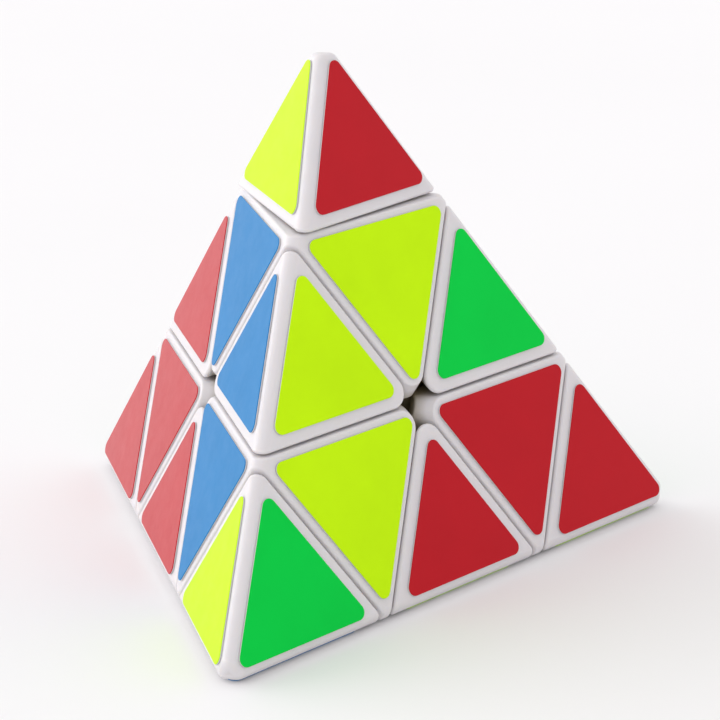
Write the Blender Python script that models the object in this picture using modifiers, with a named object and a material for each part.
"""Pyramid twisty puzzle.

A regular four-sided pyramid is cut by eight planes into four corner tips, four octahedral centre
pieces and six edge pieces. The centre pieces turn on screws in a small core, the edge pieces are
held by feet that slide under the centre pieces, and each tip turns on a collar of its centre piece.

The origin is the middle of the core, where the four turning axes meet. +Z points at the top corner
and the pyramid rests on its base face. Everything is in metres.
"""

import math
from itertools import combinations, product

import bmesh
import bpy
from mathutils import Matrix, Vector

MM = 0.001

# --- driving dimensions -----------------------------------------------------------------------
PYRAMID_EDGE = 98.0 * MM        # sharp corner to sharp corner of the plastic faces
LAYER_GAP = 0.3 * MM            # clearance across every cut plane
FILLET = 0.8 * MM               # rounding along every edge of a piece
POINT_CUT = 4.2 * MM            # from a sharp corner of the pyramid down to its blunt end
CORNER_TRIM = 1.0 * MM          # how far each corner is trimmed along its edges before rounding

STICKER_THICKNESS = 0.3 * MM
STICKER_GAP = 0.05 * MM         # glue line between a sticker and its piece
STICKER_CORNER = 1.2 * MM       # corner radius of every sticker
STICKER_INSET = {"tip": 2.1 * MM, "edge": 2.2 * MM, "centre": 1.2 * MM}

SKIRT_WALL = 4.0 * MM           # plastic left between a face and the round cavity, at its thinnest
FOOT_CLEARANCE = 0.5 * MM       # between the edge pieces' feet and the round cavity
FOOT_THICKNESS = 3.5 * MM
FOOT_REACH = 4.2 * MM           # how far a foot goes under the neighbouring layer
FOOT_SPACING = 0.6 * MM         # between the feet of two neighbouring edge pieces
CORE_CLEARANCE = 4.0 * MM       # between the core's ball and the feet
BOSS_HEIGHT = 1.0 * MM          # a boss rises this far out of the core's ball
BOSS_WALL = 1.8 * MM            # plastic round a screw in its boss

SCREW_RADIUS = 1.5 * MM
SCREW_INNER_END = 3.6 * MM      # the screws stop this far from the middle of the core
SCREW_HEAD_HEIGHT = 2.2 * MM
SCREW_HEAD_OVERLAP = 0.1 * MM   # how far the head reaches past the spring that it presses
RECESS_DEPTH = 1.2 * MM         # the cross recess in a screw head
RECESS_LENGTH = 3.2 * MM
RECESS_WIDTH = 0.8 * MM
SPRING_LENGTH = 6.0 * MM
SPRING_CLEARANCE = 0.5 * MM     # between the spring and the screw inside it
WIRE_RADIUS = 0.35 * MM
SPRING_TURNS = 4

FIT = 0.3 * MM                  # clearance between turned pieces that fit each other
STEM_WALL = 1.7 * MM            # plastic round the screw hole in a centre piece's stem
WELL_WALL = 0.9 * MM            # plastic round the well, in the collar
WELL_FLOOR = 2.0 * MM           # plastic under the well, above the round cavity
COLLAR_HEIGHT = 4.0 * MM        # the collar rises this far above the tip's cut plane
COLLAR_LIP = 0.4 * MM           # how far the snap lip stands out
LIP_HEIGHT = 1.2 * MM
TIP_ROOF = 6.4 * MM             # from a tip's sharp corner down to the hollow inside it

TIP_TWIST = {"top": math.radians(4.8)}   # a tip stands at any angle; this one is left off line

TURNED_STEPS = 16               # flats round a turned piece
BALL_RINGS = 12                 # flats from pole to pole of the core's ball and the round cavity
FILLET_STEPS = 1                # from the middle to the edge of a side of a fillet ball's cube grid
COIL_STEPS = 8                  # straight stretches in a turn of a spring
SHARP_ANGLE = math.radians(30)  # edges that bend more than this are shaded sharp
FLAT_ANGLE = math.radians(1)    # faces that bend less than this become one
MERGE_DISTANCE = 0.001 * MM

# --- derived dimensions -----------------------------------------------------------------------
INRADIUS = PYRAMID_EDGE * math.sqrt(6) / 12      # core to face
APEX = 3 * INRADIUS                              # core to sharp corner
TIP_PLANE = 5 / 3 * INRADIUS                     # core to a tip's cut plane
LAYER_PLANE = INRADIUS / 3                       # core to a layer's cut plane
CELL_SIDE = PYRAMID_EDGE / 3                     # side of every small triangle on a face

CAVITY_RADIUS = INRADIUS - SKIRT_WALL
FOOT_OUTER = CAVITY_RADIUS - FOOT_CLEARANCE
FOOT_INNER = FOOT_OUTER - FOOT_THICKNESS
FOOT_PLANE = LAYER_PLANE - FOOT_REACH
CORE_RADIUS = FOOT_INNER - CORE_CLEARANCE
BOSS_TOP = CORE_RADIUS + BOSS_HEIGHT

SPRING_RADIUS = SCREW_RADIUS + SPRING_CLEARANCE + WIRE_RADIUS     # to the middle of the wire
SCREW_HEAD_RADIUS = SPRING_RADIUS + WIRE_RADIUS + SCREW_HEAD_OVERLAP
SCREW_HOLE_RADIUS = SCREW_RADIUS + FIT
BOSS_RADIUS = SCREW_HOLE_RADIUS + BOSS_WALL
STEM_BOTTOM = BOSS_TOP + FIT
STEM_RADIUS = SCREW_HOLE_RADIUS + STEM_WALL
WELL_BOTTOM = CAVITY_RADIUS + WELL_FLOOR
WELL_RADIUS = SCREW_HEAD_RADIUS + 2 * FIT
HEAD_BOTTOM = WELL_BOTTOM + SPRING_LENGTH + 2 * FIT
COLLAR_RADIUS = WELL_RADIUS + WELL_WALL
COLLAR_TOP = TIP_PLANE + COLLAR_HEIGHT
LIP_RADIUS = COLLAR_RADIUS + COLLAR_LIP
SOCKET_MOUTH = COLLAR_RADIUS + FIT / 2           # the lip snaps past this edge
SOCKET_RADIUS = LIP_RADIUS + FIT
SOCKET_FLOOR = COLLAR_TOP - LIP_HEIGHT - FIT
SOCKET_TOP = COLLAR_TOP + FIT
HOLLOW_TOP = APEX - TIP_ROOF

# --- directions -------------------------------------------------------------------------------
CORNERS = {
    "top": Vector((0, 0, 1)),
    "left": Vector((-math.sqrt(2 / 3), -math.sqrt(2) / 3, -1 / 3)),
    "right": Vector((math.sqrt(2 / 3), -math.sqrt(2) / 3, -1 / 3)),
    "back": Vector((0, 2 * math.sqrt(2) / 3, -1 / 3)),
}
FACES = {"base": "top", "right": "left", "left": "right", "front": "back"}   # face: corner opposite
EDGES = list(combinations(CORNERS, 2))

# The scramble: the colour of every sticker, by piece and face.
STICKERS = {
    "tip_top": {"front": "red", "left": "yellow", "right": "blue"},
    "tip_left": {"front": "green", "left": "yellow", "base": "blue"},
    "tip_right": {"front": "red", "right": "green", "base": "yellow"},
    "tip_back": {"left": "red", "right": "green", "base": "blue"},
    "centre_top": {"front": "yellow", "left": "blue", "right": "red"},
    "centre_left": {"front": "yellow", "left": "blue", "base": "green"},
    "centre_right": {"front": "red", "right": "green", "base": "yellow"},
    "centre_back": {"left": "red", "right": "green", "base": "blue"},
    "edge_top_left": {"front": "yellow", "left": "blue"},
    "edge_top_right": {"front": "green", "right": "blue"},
    "edge_top_back": {"left": "red", "right": "green"},
    "edge_left_right": {"front": "red", "base": "yellow"},
    "edge_left_back": {"left": "red", "base": "blue"},
    "edge_right_back": {"right": "green", "base": "yellow"},
}


# --- scene and objects ------------------------------------------------------------------------
def clear_scene():
    for item in list(bpy.data.objects):
        bpy.data.objects.remove(item)


def new_collection(name):
    collection = bpy.data.collections.new(name)
    bpy.context.scene.collection.children.link(collection)
    return collection


def new_material(name, colour, roughness, metallic=0.0):
    material = bpy.data.materials.new(name)
    material.use_nodes = True
    shader = material.node_tree.nodes["Principled BSDF"]
    shader.inputs["Base Color"].default_value = (*colour, 1)
    shader.inputs["Roughness"].default_value = roughness
    shader.inputs["Metallic"].default_value = metallic
    return material


def add_object(name, data, collection, place=Matrix()):
    item = bpy.data.objects.new(name, data)
    item.matrix_basis = place
    collection.objects.link(item)
    return item


def add_piece(name, mesh, material, place=Matrix()):
    """One named piece; pieces of a kind share their mesh, and its material with it."""
    if not mesh.materials:
        mesh.materials.append(material)
    return add_object(name, mesh, pieces, place)


def add_cutter(name, mesh, place=Matrix()):
    item = add_object(name, mesh, cutters, place)
    item.hide_render = True
    item.display_type = "WIRE"
    return item


def attach(child, parent):
    """Parent child to parent without moving it."""
    child.parent = parent
    child.matrix_parent_inverse = parent.matrix_basis.inverted()


def boolean(item, operation, other):
    modifier = item.modifiers.new(operation.lower(), "BOOLEAN")
    modifier.operation = operation
    modifier.object = other
    modifier.solver = "EXACT"


def finished_mesh(item, name):
    """The evaluated mesh of an object, with the modifiers applied, for its copies to share."""
    depsgraph = bpy.context.evaluated_depsgraph_get()
    mesh = bpy.data.meshes.new_from_object(item.evaluated_get(depsgraph))
    mesh.name = name
    bpy.data.objects.remove(item)
    mesh.shade_smooth()
    mesh.set_sharp_from_angle(angle=SHARP_ANGLE)
    return mesh


def mesh_from(bm, name):
    mesh = bpy.data.meshes.new(name)
    bm.to_mesh(mesh)
    bm.free()
    return mesh


# --- shapes -----------------------------------------------------------------------------------
def convex_solid(planes):
    """A block cut down by planes; a plane is its outward normal and its distance from the core."""
    bm = bmesh.new()
    bmesh.ops.create_cube(bm, size=4 * PYRAMID_EDGE)
    for normal, distance in planes:
        everything = bm.verts[:] + bm.edges[:] + bm.faces[:]
        cut = bmesh.ops.bisect_plane(
            bm, geom=everything, dist=MERGE_DISTANCE / 10, plane_co=normal * distance,
            plane_no=normal, clear_outer=True)
        rim = [part for part in cut["geom_cut"] if isinstance(part, bmesh.types.BMEdge)]
        bmesh.ops.contextual_create(bm, geom=rim)
    return bm


def ball_directions(steps):
    """Directions to the points of a cube's surface grid. The cube's axes point at the middles of
    the pyramid's edges, so that its corners point straight out of every face and cut plane."""
    across = [(CORNERS["top"] + CORNERS[name]).normalized() for name in ("left", "right", "back")]
    grid = product(range(-steps, steps + 1), repeat=3)
    shell = [point for point in grid if max(map(abs, point)) == steps]
    return [sum((k * axis for k, axis in zip(point, across)), Vector()).normalized()
            for point in shell]


def rounded_cell(name, planes):
    """The solid inside the planes, with its edges and corners rounded: the hull of small balls set
    in its trimmed corners."""
    inner = convex_solid([(normal, distance - FILLET) for normal, distance in planes])
    ball = ball_directions(FILLET_STEPS)
    hull = bmesh.new()
    for corner in inner.verts:
        for edge in corner.link_edges:
            along = edge.other_vert(corner).co - corner.co
            trimmed = corner.co + along * min(CORNER_TRIM / along.length, 0.5)
            for direction in ball:
                hull.verts.new(trimmed + direction * FILLET)
    inner.free()
    made = bmesh.ops.convex_hull(hull, input=hull.verts)
    loose = {v for key in ("geom_interior", "geom_unused")
             for v in made[key] if isinstance(v, bmesh.types.BMVert)}
    bmesh.ops.delete(hull, geom=list(loose), context="VERTS")
    bmesh.ops.dissolve_limit(hull, angle_limit=FLAT_ANGLE, verts=hull.verts, edges=hull.edges)
    return mesh_from(hull, name)


def ball(name, radius):
    bm = bmesh.new()
    bmesh.ops.create_uvsphere(
        bm, u_segments=2 * BALL_RINGS, v_segments=BALL_RINGS, radius=radius)
    return mesh_from(bm, name)


def turned(name, outline):
    """A solid turned about +Z. The outline is (radius, height) from the top, down the outside."""
    bm = bmesh.new()
    points = [bm.verts.new((radius, 0, height)) for radius, height in outline]
    for above, below in zip(points, points[1:]):
        bm.edges.new((above, below))
    item = add_object(name, mesh_from(bm, name), cutters)
    screw = item.modifiers.new("turn", "SCREW")
    screw.steps = screw.render_steps = TURNED_STEPS
    screw.use_merge_vertices = True
    screw.merge_threshold = MERGE_DISTANCE
    return finished_mesh(item, name)


def cylinder(name, radius, bottom, top):
    return turned(name, [(0, top), (radius, top), (radius, bottom), (0, bottom)])


def copies(mesh, places):
    """One mesh with a copy of another at each place."""
    bm = bmesh.new()
    for place in places.values():
        copy = mesh.copy()
        copy.transform(place)
        bm.from_mesh(copy)
        bpy.data.meshes.remove(copy)
    return mesh_from(bm, mesh.name + "_copies")


def box(name, size, centre):
    bm = bmesh.new()
    bmesh.ops.create_cube(bm, size=1)
    bmesh.ops.scale(bm, vec=size, verts=bm.verts)
    bmesh.ops.translate(bm, vec=centre, verts=bm.verts)
    return mesh_from(bm, name)


# --- the cut planes of each kind of piece --------------------------------------------------------
def outside_faces(*own_corners):
    """The pyramid's faces that touch all of the given corners."""
    return [(-axis, INRADIUS) for name, axis in CORNERS.items() if name not in own_corners]


def beyond(corner, distance):
    return -CORNERS[corner], -(distance + LAYER_GAP / 2)


def short_of(corner, distance):
    return CORNERS[corner], distance - LAYER_GAP / 2


def tip_planes(corner):
    blunt_end = (CORNERS[corner], APEX - POINT_CUT)
    return outside_faces(corner) + [blunt_end, beyond(corner, TIP_PLANE)]


def centre_planes(corner):
    others = [short_of(name, LAYER_PLANE) for name in CORNERS if name != corner]
    return outside_faces(corner) + others + [
        short_of(corner, TIP_PLANE), beyond(corner, LAYER_PLANE)]


def edge_planes(first, second):
    return outside_faces(first, second) + [
        beyond(first, LAYER_PLANE), beyond(second, LAYER_PLANE)]


def foot_planes(first, second):
    """A foot reaches under both neighbouring layers and stays clear of the other two."""
    near = [(-CORNERS[name], -(FOOT_PLANE + FOOT_SPACING / 2)) for name in (first, second)]
    far = [(axis, FOOT_PLANE - FOOT_SPACING / 2)
           for name, axis in CORNERS.items() if name not in (first, second)]
    return near + far


# --- pieces, each made once for the top corner or the top left edge ------------------------------
def tip_mesh():
    tip = add_object("tip", rounded_cell("tip", tip_planes("top")), cutters)
    below = TIP_PLANE - LAYER_GAP
    hollow = [
        (0, HOLLOW_TOP), (SOCKET_RADIUS, SOCKET_TOP), (SOCKET_RADIUS, SOCKET_FLOOR),
        (SOCKET_MOUTH, SOCKET_FLOOR), (SOCKET_MOUTH, below), (0, below)]
    boolean(tip, "DIFFERENCE", add_cutter("tip_hollow", turned("tip_hollow", hollow)))
    return finished_mesh(tip, "tip")


def centre_mesh(cavity):
    centre = add_object("centre", rounded_cell("centre", centre_planes("top")), cutters)
    spindle = [
        (0, COLLAR_TOP), (COLLAR_RADIUS, COLLAR_TOP), (LIP_RADIUS, COLLAR_TOP - LIP_HEIGHT / 3),
        (LIP_RADIUS, COLLAR_TOP - LIP_HEIGHT), (COLLAR_RADIUS, COLLAR_TOP - LIP_HEIGHT),
        (COLLAR_RADIUS, WELL_BOTTOM), (STEM_RADIUS, WELL_BOTTOM - WELL_FLOOR / 2),
        (STEM_RADIUS, STEM_BOTTOM), (0, STEM_BOTTOM)]
    above, below = COLLAR_TOP + FIT, STEM_BOTTOM - FIT
    bore = [
        (0, above), (WELL_RADIUS, above), (WELL_RADIUS, WELL_BOTTOM),
        (SCREW_HOLE_RADIUS, WELL_BOTTOM), (SCREW_HOLE_RADIUS, below), (0, below)]
    boolean(centre, "DIFFERENCE", cavity)
    boolean(centre, "UNION", add_cutter("centre_spindle", turned("centre_spindle", spindle)))
    boolean(centre, "DIFFERENCE", add_cutter("centre_bore", turned("centre_bore", bore)))
    return finished_mesh(centre, "centre")


def edge_mesh():
    edge = add_object("edge", rounded_cell("edge", edge_planes("top", "left")), cutters)
    foot = add_cutter("foot", mesh_from(convex_solid(foot_planes("top", "left")), "foot"))
    boolean(foot, "INTERSECT", add_cutter("foot_outside", ball("foot_outside", FOOT_OUTER)))
    boolean(edge, "UNION", foot)
    boolean(edge, "DIFFERENCE", add_cutter("foot_inside", ball("foot_inside", FOOT_INNER)))
    return finished_mesh(edge, "edge")


def core_mesh(places):
    core = add_object("core_ball", ball("core_ball", CORE_RADIUS), cutters)
    boss = cylinder("boss", BOSS_RADIUS, CORE_RADIUS / 2, BOSS_TOP)
    hole = cylinder("screw_hole", SCREW_HOLE_RADIUS, SCREW_INNER_END - FIT, BOSS_TOP + FIT)
    boolean(core, "UNION", add_cutter("bosses", copies(boss, places)))
    boolean(core, "DIFFERENCE", add_cutter("screw_holes", copies(hole, places)))
    return finished_mesh(core, "core")


def screw_mesh():
    head_top = HEAD_BOTTOM + SCREW_HEAD_HEIGHT
    outline = [
        (0, head_top), (SCREW_HEAD_RADIUS, head_top), (SCREW_HEAD_RADIUS, HEAD_BOTTOM),
        (SCREW_RADIUS, HEAD_BOTTOM), (SCREW_RADIUS, SCREW_INNER_END), (0, SCREW_INNER_END)]
    screw = add_object("screw", turned("screw", outline), cutters)
    for name, size in (("across", (RECESS_LENGTH, RECESS_WIDTH, 2 * RECESS_DEPTH)),
                       ("along", (RECESS_WIDTH, RECESS_LENGTH, 2 * RECESS_DEPTH))):
        recess = box("recess_" + name, size, (0, 0, head_top))
        boolean(screw, "DIFFERENCE", add_cutter("recess_" + name, recess))
    return finished_mesh(screw, "screw")


def spring_mesh():
    """A coil round the screw, between the floor of the well and the screw head."""
    low = WELL_BOTTOM + FIT + WIRE_RADIUS
    high = HEAD_BOTTOM - FIT - WIRE_RADIUS
    count = COIL_STEPS * SPRING_TURNS
    curve = bpy.data.curves.new("spring", "CURVE")
    curve.dimensions = "3D"
    curve.bevel_depth = WIRE_RADIUS
    curve.bevel_resolution = 2
    curve.use_fill_caps = True
    coil = curve.splines.new("POLY")
    coil.points.add(count)
    for k, point in enumerate(coil.points):
        angle = 2 * math.pi * SPRING_TURNS * k / count
        height = low + (high - low) * k / count
        point.co = (SPRING_RADIUS * math.cos(angle), SPRING_RADIUS * math.sin(angle), height, 1)
    return curve


def sticker_mesh(kind):
    """A rounded triangle lying on XY, with one corner towards +Y."""
    side = CELL_SIDE - 2 * math.sqrt(3) * STICKER_INSET[kind]
    bm = bmesh.new()
    bmesh.ops.create_circle(bm, cap_ends=True, segments=3, radius=side / math.sqrt(3))
    bmesh.ops.bevel(
        bm, geom=bm.verts[:], offset=STICKER_CORNER * math.sqrt(3), segments=2, profile=0.5,
        affect="VERTICES")
    sticker = add_object("sticker", mesh_from(bm, "sticker"), cutters)
    thicken = sticker.modifiers.new("thicken", "SOLIDIFY")
    thicken.thickness = STICKER_THICKNESS
    thicken.offset = 1
    return finished_mesh(sticker, "sticker_" + kind)


# --- places -------------------------------------------------------------------------------------
def corner_places():
    """The turn that takes a piece from the top corner to each corner."""
    places = {name: Matrix.Rotation(math.pi, 4, CORNERS["top"] + axis)
              for name, axis in CORNERS.items() if name != "top"}
    return {"top": Matrix(), **places}


def edge_places():
    """The turn that takes a piece from the top left edge to each edge."""
    opposite = Matrix.Rotation(math.pi, 4, CORNERS["top"] + CORNERS["right"])
    places = {}
    for step, name in enumerate(("left", "right", "back")):
        turn = Matrix.Rotation(step * math.tau / 3, 4, "Z")
        far = tuple(other for other in CORNERS if other not in ("top", name))
        places["top", name] = turn
        places[far] = turn @ opposite
    return places


def facet(kind, owners, face):
    """The corners of a piece's triangle on a face, beginning with the one its sticker points at."""
    away = FACES[face]
    apex = {name: APEX * axis for name, axis in CORNERS.items()}
    middle = -INRADIUS * CORNERS[away]
    if kind == "edge":
        first, second = (apex[name] for name in owners)
        return [middle, first.lerp(second, 1 / 3), second.lerp(first, 1 / 3)]
    own = apex[owners[0]]
    cuts = [own.lerp(apex[name], 1 / 3) for name in CORNERS if name not in (owners[0], away)]
    return [own if kind == "tip" else middle] + cuts


def sticker_place(kind, owners, face):
    points = facet(kind, owners, face)
    centre = sum(points, Vector()) / 3
    normal = -CORNERS[FACES[face]]
    up = (points[0] - centre).normalized()
    place = Matrix((up.cross(normal), up, normal)).transposed().to_4x4()
    place.translation = centre + normal * STICKER_GAP
    return place


# --- the whole puzzle -----------------------------------------------------------------------------
def add_stickers(piece, kind, owners, meshes):
    """A mesh holds one colour, so each colour has its own copy of the sticker's mesh."""
    for face, colour in STICKERS[piece.name].items():
        if (kind, colour) not in meshes:
            meshes[kind, colour] = sticker_mesh(kind)
        sticker = add_piece(
            "sticker_" + piece.name + "_" + face, meshes[kind, colour], materials[colour],
            sticker_place(kind, owners, face))
        attach(sticker, piece)


def build():
    corners, edges, stickers = corner_places(), edge_places(), {}
    add_piece("core", core_mesh(corners), materials["core"])
    shapes = {
        "axle_screw": (screw_mesh(), "steel"),
        "axle_spring": (spring_mesh(), "steel"),
        "centre": (centre_mesh(add_cutter("cavity", ball("cavity", CAVITY_RADIUS))), "white"),
        "tip": (tip_mesh(), "white"),
    }
    for kind, (shape, finish) in shapes.items():
        for corner, place in corners.items():
            piece = add_piece(kind + "_" + corner, shape, materials[finish], place)
            if piece.name in STICKERS:
                add_stickers(piece, kind, [corner], stickers)
            if kind == "tip":
                twist = Matrix.Rotation(TIP_TWIST.get(corner, 0), 4, CORNERS[corner])
                piece.matrix_basis = twist @ place
    edge = edge_mesh()
    for owners in EDGES:
        piece = add_piece("edge_" + "_".join(owners), edge, materials["white"], edges[owners])
        add_stickers(piece, "edge", owners, stickers)


clear_scene()
pieces = new_collection("pyramid_puzzle")
cutters = new_collection("cutters")
materials = {
    "white": new_material("white_plastic", (0.80, 0.79, 0.80), 0.35),
    "core": new_material("core_plastic", (0.70, 0.70, 0.71), 0.45),
    "steel": new_material("zinc_steel", (0.60, 0.60, 0.62), 0.30, 1.0),
    "red": new_material("red_sticker", (0.50, 0.012, 0.022), 0.35),
    "yellow": new_material("yellow_sticker", (0.53, 0.86, 0.006), 0.35),
    "green": new_material("green_sticker", (0.002, 0.57, 0.055), 0.35),
    "blue": new_material("blue_sticker", (0.05, 0.24, 0.62), 0.35),
}
build()
